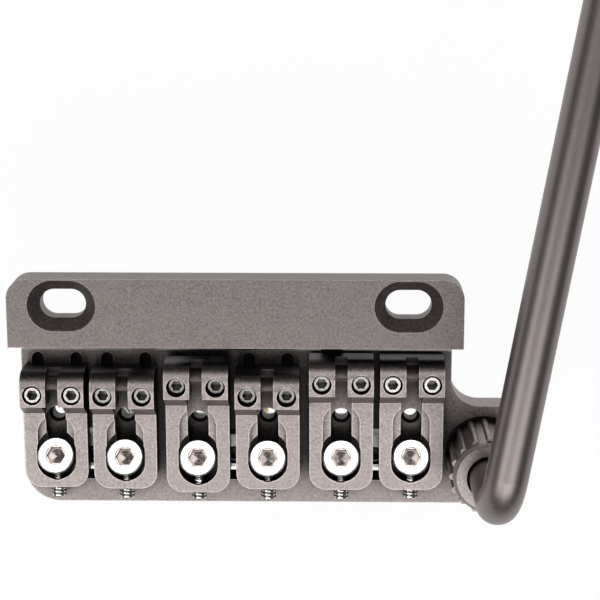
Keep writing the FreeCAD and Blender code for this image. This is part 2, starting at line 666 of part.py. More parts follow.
def make_intonation_screw(k):
    """A set screw along the string, from behind the carriage to the clamp screw's shank."""
    radius, chamfer = d["set_screw_radius"], d["set_screw_chamfer"]
    z = underside(k) + d["set_screw_height"]
    drop = (clamp_top(k) - z) * math.tan(TILT)
    lean = d["clamp_shank_radius"] / math.cos(TILT) + radius * math.tan(TILT)
    tip = -d["clamp_back"] - drop - lean - d["set_screw_gap"]
    rear = -d["set_screw_rear"]
    x = string_x(k)
    pieces = [
        taper(radius - chamfer, radius, chamfer, (x, rear, z), "Y"),
        rod(radius, tip - rear - chamfer * 2, (x, rear + chamfer, z), "Y"),
        taper(radius, radius - chamfer, chamfer, (x, tip - chamfer, z), "Y"),
    ]
    socket = hexagon(d["set_hex"], d["set_hex_depth"] + d["overrun"], (x, rear - d["overrun"], z), "Y")
    return name_part(cut(fuse(pieces), [socket]), f"intonation_screw_{k + 1}")


# Hold-down springs

def make_tension_block(pair):
    x = pair_x(pair)
    half = d["block_width"] / 2
    top = CARRIAGE_TOP - d["block_top"]
    along = (STUD_Y - d["block_rear"], STUD_Y + d["block_front"])
    body = block((x - half, x + half), along, (top - d["block_height"], top))
    reach = d["trunnion_length"] / 2
    trunnion = rod(d["trunnion_radius"], reach * 2, (x - reach, STUD_Y, TRUNNION_Z), "X")
    hole = rod(
        d["stud_radius"] + d["running_fit"], d["block_height"] + d["overrun"] * 2,
        (x, STUD_Y, top - d["block_height"] - d["overrun"]),
    )
    return name_part(cut(fuse([body, trunnion]), [hole]), f"tension_block_{pair + 2}")


def make_tension_stud(pair):
    x = pair_x(pair)
    depth = d["stud_hex_depth"]
    body = rod(d["stud_radius"], d["stud_length"], (x, STUD_Y, STUD_TOP - d["stud_length"]))
    socket = hexagon(d["stud_hex"], depth + d["overrun"], (x, STUD_Y, STUD_TOP - depth))
    return name_part(cut(body, [socket]), f"tension_stud_{pair + 2}")


def make_spring_cup(pair):
    x = pair_x(pair)
    pieces = [
        rod(d["cup_radius"], d["cup_thickness"], (x, STUD_Y, CUP_LOW)),
        rod(d["cup_pilot_radius"], d["cup_pilot_height"] + d["cup_thickness"], (x, STUD_Y, CUP_LOW)),
    ]
    length = d["cup_thickness"] + d["cup_pilot_height"] + d["overrun"] * 2
    hole = rod(d["stud_radius"] + d["running_fit"], length, (x, STUD_Y, CUP_LOW - d["overrun"]))
    return name_part(cut(fuse(pieces), [hole]), f"spring_cup_{pair + 2}")


def helix_point(radius, pitch, turn):
    angle = 2 * math.pi * turn
    return FreeCAD.Vector(radius * math.cos(angle), radius * math.sin(angle), pitch * turn)


def helix_heading(radius, pitch, turn):
    angle = 2 * math.pi * turn
    heading = FreeCAD.Vector(-radius * math.sin(angle), radius * math.cos(angle), pitch / (2 * math.pi))
    return heading.normalize()


def arc_edge(start, corner, end):
    """The arc from start to end whose tangents meet at the corner."""
    chord_middle = (start + end) * 0.5
    half_chord = (end - start).Length / 2
    bulge = corner - chord_middle
    slope = math.atan2(bulge.Length, half_chord)
    crown = chord_middle + bulge.normalize() * half_chord * math.tan(slope / 2)
    return Part.Arc(start, crown, end).toShape()


def biarc(start, start_heading, end, end_heading):
    """Two arcs that leave start and reach end along their headings, and share a tangent between."""
    gap = end - start
    both = start_heading + end_heading
    square = both.dot(both) - 4
    lean = gap.dot(both)
    reach = (lean - math.sqrt(lean * lean - square * gap.dot(gap))) / square
    first = start + start_heading * reach
    last = end - end_heading * reach
    middle = (first + last) * 0.5
    return [arc_edge(start, first, middle), arc_edge(middle, last, end)]


def spring_shape():
    """One unbroken wire wound as a coil, with a straight end of one wire diameter at each end."""
    radius, wire = d["spring_radius"].value, d["wire_radius"].value
    height = SPRING_LENGTH.value - 2 * (wire + d["seat_gap"].value)
    pitch = height / (TURNS + 4 * wire / (2 * math.pi * radius))
    quarters = [i / 4 for i in range(4 * TURNS + 1)]
    points = [helix_point(radius, pitch, q) for q in quarters]
    headings = [helix_heading(radius, pitch, q) for q in quarters]
    lead_in = points[0] - headings[0] * wire * 2
    lead_out = points[-1] + headings[-1] * wire * 2
    edges = [Part.makeLine(lead_in, points[0])]
    for i in range(len(points) - 1):
        edges += biarc(points[i], headings[i], points[i + 1], headings[i + 1])
    edges.append(Part.makeLine(points[-1], lead_out))
    path = Part.Wire(edges)
    path.translate(FreeCAD.Vector(0, 0, -lead_in.z))
    lead_in = FreeCAD.Vector(lead_in.x, lead_in.y, 0)
    profile = Part.Wire(Part.Circle(lead_in, headings[0], wire).toShape())
    print("spring coil gap to itself (mm):", round(coil_gap(path, wire), 2))
    return path.makePipeShell([profile], True, False)


def coil_gap(path, wire):
    """The least gap between points of the wire at least half a turn apart along it."""
    samples = path.discretize(24 * TURNS)
    apart = 12
    nearest = min(
        (a - b).Length for i, a in enumerate(samples) for b in samples[i + apart:]
    )
    return nearest - 2 * wire


def make_spring(pair, shape):
    spring = doc.addObject("Part::Feature", "spring")
    spring.Shape = shape
    bottom = SPRING_SEAT + d["wire_radius"] + d["seat_gap"]
    place(spring, (pair_x(pair), STUD_Y, bottom))
    return name_part(spring, f"hold_down_spring_{pair + 2}")


# Spring frame, its spacers and screws

def make_spring_frame():
    pad, spine, bar = (d[name] / 2 for name in ("frame_pad_width", "spine_width", "bar_width"))
    corner = d["frame_corner"]
    corners = [
        (-pad, d["frame_pad_front"] + ZERO, corner), (-pad, -d["frame_pad_rear"], corner),
        (-spine, -d["frame_pad_rear"], corner), (-spine, -d["bar_front"], corner),
        (-bar, -d["bar_front"], corner), (-bar, -d["bar_rear"], corner),
        (bar + ZERO, -d["bar_rear"], corner), (bar + ZERO, -d["bar_front"], corner),
        (spine + ZERO, -d["bar_front"], corner), (spine + ZERO, -d["frame_pad_rear"], corner),
        (pad + ZERO, -d["frame_pad_rear"], corner), (pad + ZERO, d["frame_pad_front"] + ZERO, corner),
    ]
    body = padded("XY_Plane", corners, FRAME_BOTTOM, d["frame_thickness"])
    low, high = FRAME_BOTTOM - d["overrun"], FRAME_TOP + d["overrun"]
    stud_hole = d["stud_radius"] + d["stud_hole_gap"]
    tools = [rod(stud_hole, high - low, (pair_x(pair), STUD_Y, low)) for pair in PAIRS]
    for x, y in frame_screw_places():
        tools.append(rod(d["frame_screw_radius"] + d["running_fit"], high - low, (x, y, low)))
    return name_part(cut(body, tools), "spring_frame")


def make_frame_fasteners():
    spacers, screws = [], []
    bore = d["frame_screw_radius"] + d["running_fit"]
    for x, y in frame_screw_places():
        tube = rod(d["spacer_radius"], d["frame_drop"], (x, y, FRAME_TOP))
        spacers.append(cut(tube, [rod(bore, d["frame_drop"] + d["overrun"], (x, y, FRAME_TOP))]))
        head_low = FRAME_BOTTOM - d["frame_head_height"]
        pieces = [
            rod(d["frame_head_radius"], d["frame_head_height"], (x, y, head_low)),
            rod(d["frame_screw_radius"], d["frame_screw_bite"] - head_low, (x, y, head_low)),
        ]
        depth = d["frame_hex_depth"]
        socket = hexagon(d["frame_hex"], depth + d["overrun"], (x, y, head_low - d["overrun"]))
        screws.append(cut(fuse(pieces), [socket]))
    name_part(group(spacers), "frame_spacers")
    name_part(group(screws), "frame_screws")


# Arm, socket, bush and collar

def make_arm_socket():
    bottom = -d["arm_depth"] - d["seat_gap"] - d["socket_floor"]
    flange_low = CARRIAGE_BOTTOM - d["socket_flange_height"]
    pieces = [
        rod(d["socket_radius"], d["socket_top"] - bottom, (ARM_X, ARM_Y, bottom)),
        rod(d["socket_flange"], d["socket_flange_height"], (ARM_X, ARM_Y, flange_low)),
    ]
    floor = bottom + d["socket_floor"]
    bore = rod(d["socket_bore"], d["socket_top"] - floor + d["overrun"], (ARM_X, ARM_Y, floor))
    name_part(cut(fuse(pieces), [bore]), "arm_socket")


def make_arm_bush():
    floor = -d["arm_depth"] - d["seat_gap"]
    rim = d["socket_top"] + d["seat_gap"]
    pieces = [
        rod(d["socket_bore"] - d["running_fit"], rim - floor, (ARM_X, ARM_Y, floor + ZERO)),
        rod(d["socket_radius"] - d["running_fit"], d["bush_flange"], (ARM_X, ARM_Y, rim)),
    ]
    bore = rod(
        d["arm_radius"] + d["running_fit"], rim - floor + d["bush_flange"] + d["overrun"] * 2,
        (ARM_X, ARM_Y, floor - d["overrun"]),
    )
    name_part(cut(fuse(pieces), [bore]), "arm_bush")


def make_collar_nut():
    low = CARRIAGE_TOP - d["collar_well_depth"] + d["collar_base"]
    top = d["collar_top"]
    radius, chamfer = d["collar_radius"], d["collar_chamfer"]
    pieces = [
        rod(radius, top - low - chamfer, (ARM_X, ARM_Y, low)),
        taper(radius, radius - chamfer, chamfer, (ARM_X, ARM_Y, top - chamfer)),
    ]
    half = d["ridge_width"] / 2
    ridge_low, ridge_high = low + d["ridge_foot"], top - d["ridge_top_drop"]
    for i in range(RIDGES):
        angle = 360 * i / RIDGES
        turn = FreeCAD.Rotation(FreeCAD.Vector(0, 0, 1), angle)
        ridge = rod(half, ridge_high - ridge_low, (ZERO, ZERO, ZERO))
        distance = d["ridge_radius"] - half
        out = turn.multVec(FreeCAD.Vector(1, 0, 0))
        pieces.append(place(ridge, (ARM_X + distance * out.x, ARM_Y + distance * out.y, ridge_low)))
    under = (ARM_X, ARM_Y, low - d["overrun"])
    seat_depth = d["collar_shoulder"] - low + d["overrun"]
    tools = [
        rod(d["collar_bore"], top - low + d["overrun"] * 2, under),
        rod(d["socket_radius"] + d["running_fit"], seat_depth, under),
    ]
    name_part(cut(fuse(pieces), tools), "collar_nut")


def make_tremolo_arm():
    """A round bar: a stem in the bush, a quarter bend, and a straight arm with a domed end."""
    radius, bend = d["arm_radius"], d["arm_bend"]
    yaw = math.radians(d["arm_yaw"].value)
    ahead = (math.sin(yaw), math.cos(yaw))
    stem_top = d["arm_height"] - bend
    stem = rod(radius, stem_top + d["arm_depth"], (ARM_X, ARM_Y, -d["arm_depth"]))
    elbow = doc.addObject("Part::Torus", "elbow")
    bind(elbow, "Radius1", bend)
    bind(elbow, "Radius2", radius)
    elbow.Angle3 = 90
    heading = FreeCAD.Vector(*ahead, 0)
    side = FreeCAD.Vector(0, 0, 1).cross(heading)
    turn = FreeCAD.Rotation(heading * -1, FreeCAD.Vector(0, 0, 1), side, "ZXY")
    place(elbow, (ARM_X + bend * ahead[0], ARM_Y + bend * ahead[1], stem_top), turn)
    straight_turn = FreeCAD.Rotation(FreeCAD.Vector(0, 0, 1), heading)
    start = (ARM_X + bend * ahead[0], ARM_Y + bend * ahead[1], d["arm_height"] + ZERO)
    run = d["arm_reach"] - bend - radius
    straight = rod(radius, run, start, rotation=straight_turn)
    tip = doc.addObject("Part::Sphere", "tip")
    bind(tip, "Radius", radius)
    reach = d["arm_reach"] - radius
    place(tip, (ARM_X + reach * ahead[0], ARM_Y + reach * ahead[1], d["arm_height"] + ZERO))
    name_part(fuse([stem, elbow, straight, tip]), "tremolo_arm")


def make_all():
    make_mounting_plate()
    for name, side in SIDES.items():
        make_bearing(name, side)
        make_pivot_pin(name, side)
    make_carriage()
    for k in range(len(LONG_DECKS)):
        make_saddle(k)
        make_height_screws(k)
        make_clamp_screw(k)
        make_intonation_screw(k)
    shape = spring_shape()
    for pair in PAIRS:
        make_tension_block(pair)
        make_tension_stud(pair)
        make_spring_cup(pair)
        make_spring(pair, shape)
    make_spring_frame()
    make_frame_fasteners()
    make_arm_socket()
    make_arm_bush()
    make_collar_nut()
    make_tremolo_arm()


def check_and_write():
    doc.recompute()
    for item in doc.Objects:
        if "Invalid" in item.State or "Error" in item.State:
            raise RuntimeError(f"{item.Name} ({item.Label}) failed: {item.State}")
    os.makedirs("parts", exist_ok=True)
    for item in PARTS:
        if item.Shape.isNull() or not item.Shape.isValid():
            raise RuntimeError(f"{item.Label} has no valid shape")
    for item in PARTS:
        item.Shape.exportStep(f"parts/{item.Label}.step")
        print(f"{item.Label}: {len(item.Shape.Solids)} solids, {item.Shape.Volume:.1f} mm3")


make_all()
check_and_write()
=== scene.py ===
import math

import bmesh
import bpy
from mathutils import Matrix, Vector


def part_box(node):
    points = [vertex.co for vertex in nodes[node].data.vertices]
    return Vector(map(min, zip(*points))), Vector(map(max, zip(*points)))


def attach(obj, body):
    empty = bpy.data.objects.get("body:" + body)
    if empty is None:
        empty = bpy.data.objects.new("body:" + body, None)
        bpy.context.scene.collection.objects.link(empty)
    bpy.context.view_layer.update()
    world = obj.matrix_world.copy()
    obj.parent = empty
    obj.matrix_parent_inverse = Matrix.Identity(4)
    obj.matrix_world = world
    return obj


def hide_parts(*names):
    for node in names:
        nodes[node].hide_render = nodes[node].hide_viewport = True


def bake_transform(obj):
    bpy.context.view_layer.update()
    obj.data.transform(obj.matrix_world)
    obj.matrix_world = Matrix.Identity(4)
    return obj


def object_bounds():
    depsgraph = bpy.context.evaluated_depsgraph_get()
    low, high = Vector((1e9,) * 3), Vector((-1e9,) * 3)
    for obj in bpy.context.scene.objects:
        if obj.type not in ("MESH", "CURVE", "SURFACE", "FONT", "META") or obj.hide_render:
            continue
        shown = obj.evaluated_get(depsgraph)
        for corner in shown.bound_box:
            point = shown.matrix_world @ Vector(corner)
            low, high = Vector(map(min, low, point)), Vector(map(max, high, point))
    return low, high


# Guitar tremolo bridge: blasted metal plate, carriage and saddles, polished clamp screws, a satin arm,
# threaded screws and wound hold-down springs. Lengths are in metres unless a comment says otherwise,
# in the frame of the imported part: Y runs from the saddles' tails to the plate, and Z is up.

MM = 0.001
FULL_TURN = 2 * math.pi
SADDLES = range(1, 7)
STUDS = range(1, 4)

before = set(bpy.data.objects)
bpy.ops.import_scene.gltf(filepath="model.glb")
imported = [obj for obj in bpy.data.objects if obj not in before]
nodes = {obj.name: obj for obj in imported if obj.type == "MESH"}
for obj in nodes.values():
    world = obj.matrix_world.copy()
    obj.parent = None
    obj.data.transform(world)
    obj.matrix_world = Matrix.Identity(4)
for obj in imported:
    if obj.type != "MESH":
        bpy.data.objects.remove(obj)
cad_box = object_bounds()


# Materials

NOISE_RANGE = (0.3, 0.7)  # the part of a noise's range that holds most of it
NOISE_ROUGHNESS = 0.55
EDGE_RANGE = (0.86, 0.998)  # cosine between a face and its softened normal, on an edge and on a flat
EDGE_BREAK = 0.35  # how much of a lightened edge, rubbed wear and painted highlight, is left where the grain is low
EDGE_COVER = 0.8  # share of the lighter edge colour, rubbed wear and painted highlight, on an edge
EDGE_POLISH = 0.12  # how much smoother than the rest an edge is
GAP_RANGE = (0.3, 0.8)  # openness deep in a gap and in the open, for the painted gap shade
GRAIN_TONE = 0.42  # how far the grain moves the tone either way
CLOUD_TONE = (0.42, 0.58)  # the tone's range from patch to patch
CLOUD_DETAIL = 4
ZONE_SOFTNESS = 0.02


class Shader:
    """A principled material with its node tree, and short ways to add and link nodes."""

    def __init__(self, name):
        self.material = bpy.data.materials.new(name)
        self.material.use_nodes = True
        self.tree = self.material.node_tree
        self.surface = self.tree.nodes["Principled BSDF"]
        self.places = self.add("ShaderNodeTexCoord").outputs

    def add(self, kind, **values):
        node = self.tree.nodes.new(kind)
        for key, value in values.items():
            setattr(node, key, value)
        return node

    def link(self, source, target):
        self.tree.links.new(source, target)

    def noise(self, size, detail=3.0):
        """Noise whose features are about size metres across."""
        node = self.add("ShaderNodeTexNoise")
        node.inputs["Scale"].default_value = 1 / size
        node.inputs["Detail"].default_value = detail
        node.inputs["Roughness"].default_value = NOISE_ROUGHNESS
        self.link(self.places["Object"], node.inputs["Vector"])
        return node.outputs["Fac"]

    def spread(self, source, low, high, span=NOISE_RANGE):
        """Maps the span of a value onto low to high."""
        node = self.add("ShaderNodeMapRange")
        for key, value in zip(("From Min", "From Max", "To Min", "To Max"), (*span, low, high)):
            node.inputs[key].default_value = value
        self.link(source, node.inputs["Value"])
        return node.outputs["Result"]

    def math(self, operation, first, second):
        node = self.add("ShaderNodeMath", operation=operation)
        for socket, value in zip(node.inputs, (first, second)):
            if isinstance(value, (int, float)):
                socket.default_value = value
            else:
                self.link(value, socket)
        return node.outputs["Value"]

    def mix(self, share, first, second):
        node = self.add("ShaderNodeMix", data_type="RGBA")
        self.link(share, node.inputs["Factor"])
        for socket, value in zip((node.inputs["A"], node.inputs["B"]), (first, second)):
            if isinstance(value, tuple):
                socket.default_value = (*value, 1)
            else:
                self.link(value, socket)
        return node.outputs["Result"]

    def edge_mask(self, radius, fine):
        """Is 1 along sharp edges and 0 on flats, broken up by noise."""
        bevel = self.add("ShaderNodeBevel", samples=6)
        bevel.inputs["Radius"].default_value = radius
        face = self.add("ShaderNodeNewGeometry")
        dot = self.add("ShaderNodeVectorMath", operation="DOT_PRODUCT")
        self.link(bevel.outputs["Normal"], dot.inputs[0])
        self.link(face.outputs["Normal"], dot.inputs[1])
        edge = self.spread(dot.outputs["Value"], 1, 0, EDGE_RANGE)
        return self.math("MULTIPLY", edge, self.spread(fine, EDGE_BREAK, 1))

    def painted_gap_shade(self, distance, depth):
        """Painted shade: is 1 in the open and falls to depth in gaps narrower than the distance."""
        node = self.add("ShaderNodeAmbientOcclusion", samples=8)
        node.inputs["Distance"].default_value = distance
        return self.spread(node.outputs["AO"], depth, 1, GAP_RANGE)

    def zone(self, across, along):
        """Is 1 where the shares of the object's own box across X and along Y lie between the given limits."""
        apart = self.add("ShaderNodeSeparateXYZ")
        self.link(self.places["Generated"], apart.inputs["Vector"])
        inside = 1.0
        for axis, (low, high) in (("X", across), ("Y", along)):
            for before, after, limit in ((0, 1, low), (1, 0, high)):
                span = (limit - ZONE_SOFTNESS, limit + ZONE_SOFTNESS)
                inside = self.math("MULTIPLY", self.spread(apart.outputs[axis], before, after, span), inside)
        return inside

    def bump(self, height, distance):
        node = self.add("ShaderNodeBump")
        node.inputs["Distance"].default_value = distance
        self.link(height, node.inputs["Height"])
        self.link(node.outputs["Normal"], self.surface.inputs["Normal"])


def scaled(colour, share):
    return tuple(min(1.0, c * share) for c in colour)


def metal(name, colour, roughness, grain=0.36, patch=2.5, contrast=0.4, edge_wear_and_highlight=1.9, edge=0.18, bump=0.02,
          rough_spread=0.08, gap=3.0, gap_shade=0.22, lit=None, shade_zones=()):
    """Metal with fine grain, cloudy patches, edges lightened as rubbed wear and painted highlight, and painted shade
    in gaps. Grain, patch, edge, bump and gap are in millimetres. Contrast is how far the grain strays from the
    colour, the edge lightness is how much lighter an edge is, and the gap shade is the share of its colour that the
    metal keeps deep in a gap as painted shade. A gap of 0 leaves the gaps as bright as the rest. Lit is a zone whose
    painted gap shade keeps at least a share, and the shade zones are zones of deeper painted shade, each with the
    share of colour left in it."""
    shader = Shader(name)
    fine = shader.noise(grain * MM)
    cloud = shader.noise(patch * MM, CLOUD_DETAIL)
    tone = shader.math("ADD", shader.spread(fine, -GRAIN_TONE, GRAIN_TONE), shader.spread(cloud, *CLOUD_TONE))
    plain = shader.mix(tone, scaled(colour, 1 - contrast), scaled(colour, 1 + contrast))
    mask = shader.edge_mask(edge * MM, fine)
    # Edges are lightened: partly rubbed wear, partly a painted highlight where light catches them.
    tint = shader.mix(shader.math("MULTIPLY", mask, EDGE_COVER), plain, scaled(colour, edge_wear_and_highlight))
    if gap:
        # Painted shade: the colour darkens towards black in gaps and recesses, where shade falls.
        share = shader.painted_gap_shade(gap * MM, gap_shade)
        # In the lit zone the painted gap shade keeps at least the given share of the colour.
        if lit:
            zone, least = lit
            share = shader.math("MAXIMUM", share, shader.math("MULTIPLY", shader.zone(*zone), least))
        # Deeper painted shade in the listed zones, such as the plate's painted shadow on a saddle's nose.
        for zone, left in shade_zones:
            share = shader.math("MULTIPLY", share, shader.spread(shader.zone(*zone), 1, left, (0, 1)))
        tint = shader.mix(share, (0, 0, 0), tint)
    shader.link(tint, shader.surface.inputs["Base Color"])
    rough = shader.spread(fine, roughness - rough_spread, roughness + rough_spread)
    shader.link(shader.math("SUBTRACT", rough, shader.math("MULTIPLY", mask, EDGE_POLISH)),
                shader.surface.inputs["Roughness"])
    shader.surface.inputs["Metallic"].default_value = 1.0
    shader.bump(fine, bump * MM)
    return shader.material


def nylon(name, dark, light, grain=0.3, roughness=(0.42, 0.55), bump=0.01):
    """Moulded black plastic. Grain and bump are in millimetres."""
    shader = Shader(name)
    fine = shader.noise(grain * MM)
    shader.link(shader.mix(shader.spread(fine, 0, 1), dark, light), shader.surface.inputs["Base Color"])
    shader.link(shader.spread(fine, *roughness), shader.surface.inputs["Roughness"])
    shader.bump(fine, bump * MM)
    return shader.material


# Zones of a saddle, as shares of its box across X and along Y: the ridge keeps more of its colour under the painted
# gap shade, and the channel floor and the nose get deeper painted shade, the nose's as the plate's painted shadow
STRING_CHANNEL = (0.37, 0.63)
WHOLE_WIDTH = (-1, 2)
RIDGE = (STRING_CHANNEL, (0.81, 0.95))
CHANNEL_FLOOR = (STRING_CHANNEL, (0.56, 0.79))
NOSE = (WHOLE_WIDTH, (0.945, 2))

BLASTED = (0.265, 0.232, 0.222)
MATERIALS = {
    "mounting_plate": metal("blasted_plate", scaled(BLASTED, 0.71), 0.46, edge_wear_and_highlight=2.2, edge=0.26, gap=5.0, gap_shade=0.1),
    "carriage": metal("blasted_carriage", scaled(BLASTED, 1.02), 0.48, edge_wear_and_highlight=2.2, edge=0.26, gap=7.0, gap_shade=0.08),
    # The saddle's painted gap shade is lifted on the ridge and deepened on the channel floor and, as the plate's
    # painted shadow, on the nose.
    "saddle": metal("blasted_saddle", scaled(BLASTED, 1.15), 0.46, patch=1.8, edge_wear_and_highlight=2.4, edge=0.32, gap=5.5,
                    gap_shade=0.12, lit=(RIDGE, 0.62), shade_zones=((CHANNEL_FLOOR, 0.68), (NOSE, 0.28))),
    "height_screws": metal("grub_steel", (0.48, 0.46, 0.44), 0.26, grain=0.08, bump=0.006, edge_wear_and_highlight=2.2, edge=0.12),
    "tension_block": metal("block_steel", (0.62, 0.61, 0.6), 0.34, grain=0.1, bump=0.008),
    "frame_screws": metal("black_steel", (0.06, 0.06, 0.062), 0.38, grain=0.1, bump=0.006, edge_wear_and_highlight=2.0),
    "spring_cup": metal("cup_brass", (0.62, 0.46, 0.22), 0.3, contrast=0.08, bump=0.006, edge_wear_and_highlight=1.25),
    "spring_frame": metal("frame_metal", (0.33, 0.315, 0.305), 0.45),
    "frame_spacers": metal("spacer_metal", (0.5, 0.49, 0.48), 0.32, bump=0.006),
    "bearing": metal("bearing_steel", (0.72, 0.72, 0.73), 0.2, contrast=0.04, bump=0.002, edge_wear_and_highlight=1.1),
    "pivot_pin": metal("pin_steel", (0.6, 0.6, 0.61), 0.22, contrast=0.05, bump=0.003, edge_wear_and_highlight=1.15),
    "arm_socket": metal("socket_steel", (0.36, 0.35, 0.34), 0.35, bump=0.006),
    "collar_nut": metal("blasted_collar", scaled(BLASTED, 1.25), 0.46, edge=0.14, gap=4.0, gap_shade=0.1),
    "tremolo_arm": metal("satin_arm", (0.22, 0.193, 0.184), 0.39, grain=0.3, patch=5.0, contrast=0.1, bump=0.002,
                         rough_spread=0.03, gap=0),
    "arm_bush": nylon("bush_nylon", (0.018, 0.018, 0.019), (0.032, 0.031, 0.03)),
}
THREAD_STEEL = metal("thread_steel", (0.5, 0.48, 0.46), 0.18, grain=0.08, bump=0.004, edge_wear_and_highlight=1.5, edge=0.05)
STUD_STEEL = metal("stud_steel", (0.1, 0.1, 0.102), 0.34, grain=0.08, bump=0.004, edge_wear_and_highlight=2.5, edge=0.05)
POLISHED = metal("polished_screw", (0.86, 0.85, 0.84), 0.2, contrast=0.05, bump=0.003, edge_wear_and_highlight=1.05, edge=0.1,
                 gap_shade=0.5)
# A darker copy of the screw's steel for the inside of its hex socket, where shade falls: painted shade.
SOCKET = metal("socket_shade", (0.66, 0.57, 0.53), 0.2, grain=0.3, contrast=0.2, bump=0.008, edge_wear_and_highlight=1.6, edge=0.08,
               gap=1.8, gap_shade=0.1)
SPRING_STEEL = metal("spring_wire", (0.5, 0.49, 0.48), 0.28, grain=0.15, contrast=0.1, bump=0.004, edge_wear_and_highlight=1.2)


def dress(node_name):
    """Gives a node of the frame its material by the longest matching start of its name."""
    keys = [key for key in MATERIALS if node_name.startswith(key)]
    if not keys:
        return
    mesh = nodes[node_name].data
    mesh.materials.clear()
    mesh.materials.append(MATERIALS[max(keys, key=len)])


# Threaded screws and springs

THREAD_STEPS = 6  # rings of points to one turn of a thread
THREAD_DEPTH = 0.35  # of the pitch
THREAD_SHAPE = (2.4, 1.4)  # steepness of the flanks and width of the crests
CENTRE_SHARE = 0.02  # of the radius, for the small face that closes a rod's end
THREAD_SMOOTH = 50  # degrees, over which an edge stays sharp
HEAD_SMOOTH = 40


def new_piece(name, bm, material, body, replaced):
    """Makes an object of a mesh in place of a node. With no body, it is left unattached."""
    bmesh.ops.recalc_face_normals(bm, faces=bm.faces)
    mesh = bpy.data.meshes.new(name)
    bm.to_mesh(mesh)
    bm.free()
    mesh.materials.append(material)
    piece = bpy.data.objects.new(name, mesh)
    bpy.context.scene.collection.objects.link(piece)
    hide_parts(replaced)
    if body:
        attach(piece, body)
    return piece


def smooth(piece, angle):
    """Smooth shading with sharp edges over the angle, set on the piece's own mesh."""
    mesh = piece.data
    mesh.polygons.foreach_set("use_smooth", [True] * len(mesh.polygons))
    mesh.set_sharp_from_angle(angle=math.radians(angle))


def angles(count):
    return [FULL_TURN * i / count for i in range(count)]


def join_rings(bm, rings):
    for first, second in zip(rings, rings[1:]):
        count = len(first)
        for i in range(count):
            j = (i + 1) % count
            bm.faces.new((first[i], first[j], second[j], second[i]))


def closed_mesh(rings):
    """A mesh of rings of points, joined in order and closed at both ends."""
    bm = bmesh.new()
    points = [[bm.verts.new(p) for p in ring] for ring in rings]
    join_rings(bm, points)
    bm.faces.new(points[0])
    bm.faces.new(points[-1])
    return bm


def rod_mesh(sections, sides, matrix):
    """A turned mesh about Z of (z, radius) sections, where a radius is a length or a function of the angle."""
    rings = []
    for z, radius in sections:
        ring = []
        for angle in angles(sides):
            r = radius(angle) if callable(radius) else radius
            ring.append(matrix @ Vector((r * math.cos(angle), r * math.sin(angle), z)))
        rings.append(ring)
    return closed_mesh(rings)


def hexagon(corner):
    """The radius of a hexagon at an angle, for a hexagon with this radius at its corners."""
    side = math.pi / 3
    return lambda angle: corner * math.cos(side / 2) / math.cos(angle % side - side / 2)


def groove(angle, z, pitch, steepness, crest):
    """How deep in a thread's groove a point is, from 0 to 1."""
    turn = (z / pitch + angle / FULL_TURN) % 1
    return min(1, max(0, steepness * abs(2 * turn - 1) - crest))


def threaded_rod(length, radius, pitch, hex_radius, hex_depth, chamfer):
    """Sections of a threaded rod along +Z from 0, with a hex socket sunk into its start."""
    flats = hexagon(hex_radius)
    sections = [(hex_depth, CENTRE_SHARE * hex_radius), (hex_depth, flats), (0, flats), (0, radius - chamfer)]
    count = int(length / pitch * THREAD_STEPS)
    for i in range(1, count):
        z = length * i / count
        end = min(z, length - z)

        def wound(angle, z=z, end=end):
            depth = THREAD_DEPTH * pitch * groove(angle, z, pitch, *THREAD_SHAPE)
            return min(radius - depth, radius - chamfer + end)

        sections.append((z, wound))
    return sections + [(length, radius - chamfer), (length, CENTRE_SHARE * radius)]


def make_set_screws(pitch=0.55 * MM, socket=0.75 * MM, depth=1.2 * MM, chamfer=0.22 * MM, sides=36):
    """Headless screws along Y, with the socket at the tail."""
    turn = Matrix.Rotation(math.radians(-90), 4, "X")
    for k in SADDLES:
        low, high = (Vector(c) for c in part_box(f"intonation_screw_{k}"))
        middle = (low + high) / 2
        sections = threaded_rod(high.y - low.y, (high.x - low.x) / 2, pitch, socket, depth, chamfer)
        matrix = Matrix.Translation((middle.x, low.y, middle.z)) @ turn
        piece = new_piece(f"threaded_set_screw_{k}", rod_mesh(sections, sides, matrix), THREAD_STEEL, f"set_{k}",
                          f"intonation_screw_{k}")
        smooth(piece, THREAD_SMOOTH)


def make_studs(pitch=0.55 * MM, socket=0.87 * MM, depth=1.6 * MM, chamfer=0.3 * MM, sides=28):
    """Studs along Z, with the socket at the top."""
    flip = Matrix.Rotation(math.radians(180), 4, "X")
    for i in STUDS:
        low, high = (Vector(c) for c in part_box(f"tension_stud_{i}"))
        middle = (low + high) / 2
        sections = threaded_rod(high.z - low.z, (high.x - low.x) / 2, pitch, socket, depth, chamfer)
        matrix = Matrix.Translation((middle.x, middle.y, high.z)) @ flip
        piece = new_piece(f"threaded_stud_{i}", rod_mesh(sections, sides, matrix), STUD_STEEL, f"stud_{i}",
                          f"tension_stud_{i}")
        smooth(piece, THREAD_SMOOTH)


# Clamp screws, in millimetres, with the head's face at 0
CLAMP_TILT = 24  # degrees
CLAMP_SIDES = 48
HEAD_RADIUS = 2.75
HEAD_HEIGHT = 2.2
HEAD_CHAMFER = 0.25  # on the node, whose box places the screw
HEAD_BEVEL = 0.14
HEAD_EASE = 0.04  # steps that keep the shading of the head's flats flat
SHANK_RADIUS = 1.45
SHANK_LENGTH = 6.0
SHANK_PITCH = 0.5
SHANK_THREAD = 0.16
SHANK_SHAPE = (1.5, 0.25)
SHANK_START = 0.05
SHANK_RUNOUT = 0.3
SHANK_CHAMFER = 0.25
CORNER_RADIUS = 1.45  # of the hex socket
SOCKET_DEPTH = 1.3
DRILL_DEPTH = 1.75
DRILL_RADIUS = 1.0
COUNTERSINK_DEPTH = 0.3
COUNTERSINK = (0.02, 0.1)  # past the socket's corners, at the bottom and at the face
CENTRE_RADIUS = 0.03
SOCKET_BANDS = 5  # bands of faces from the drill point to the countersink's edge


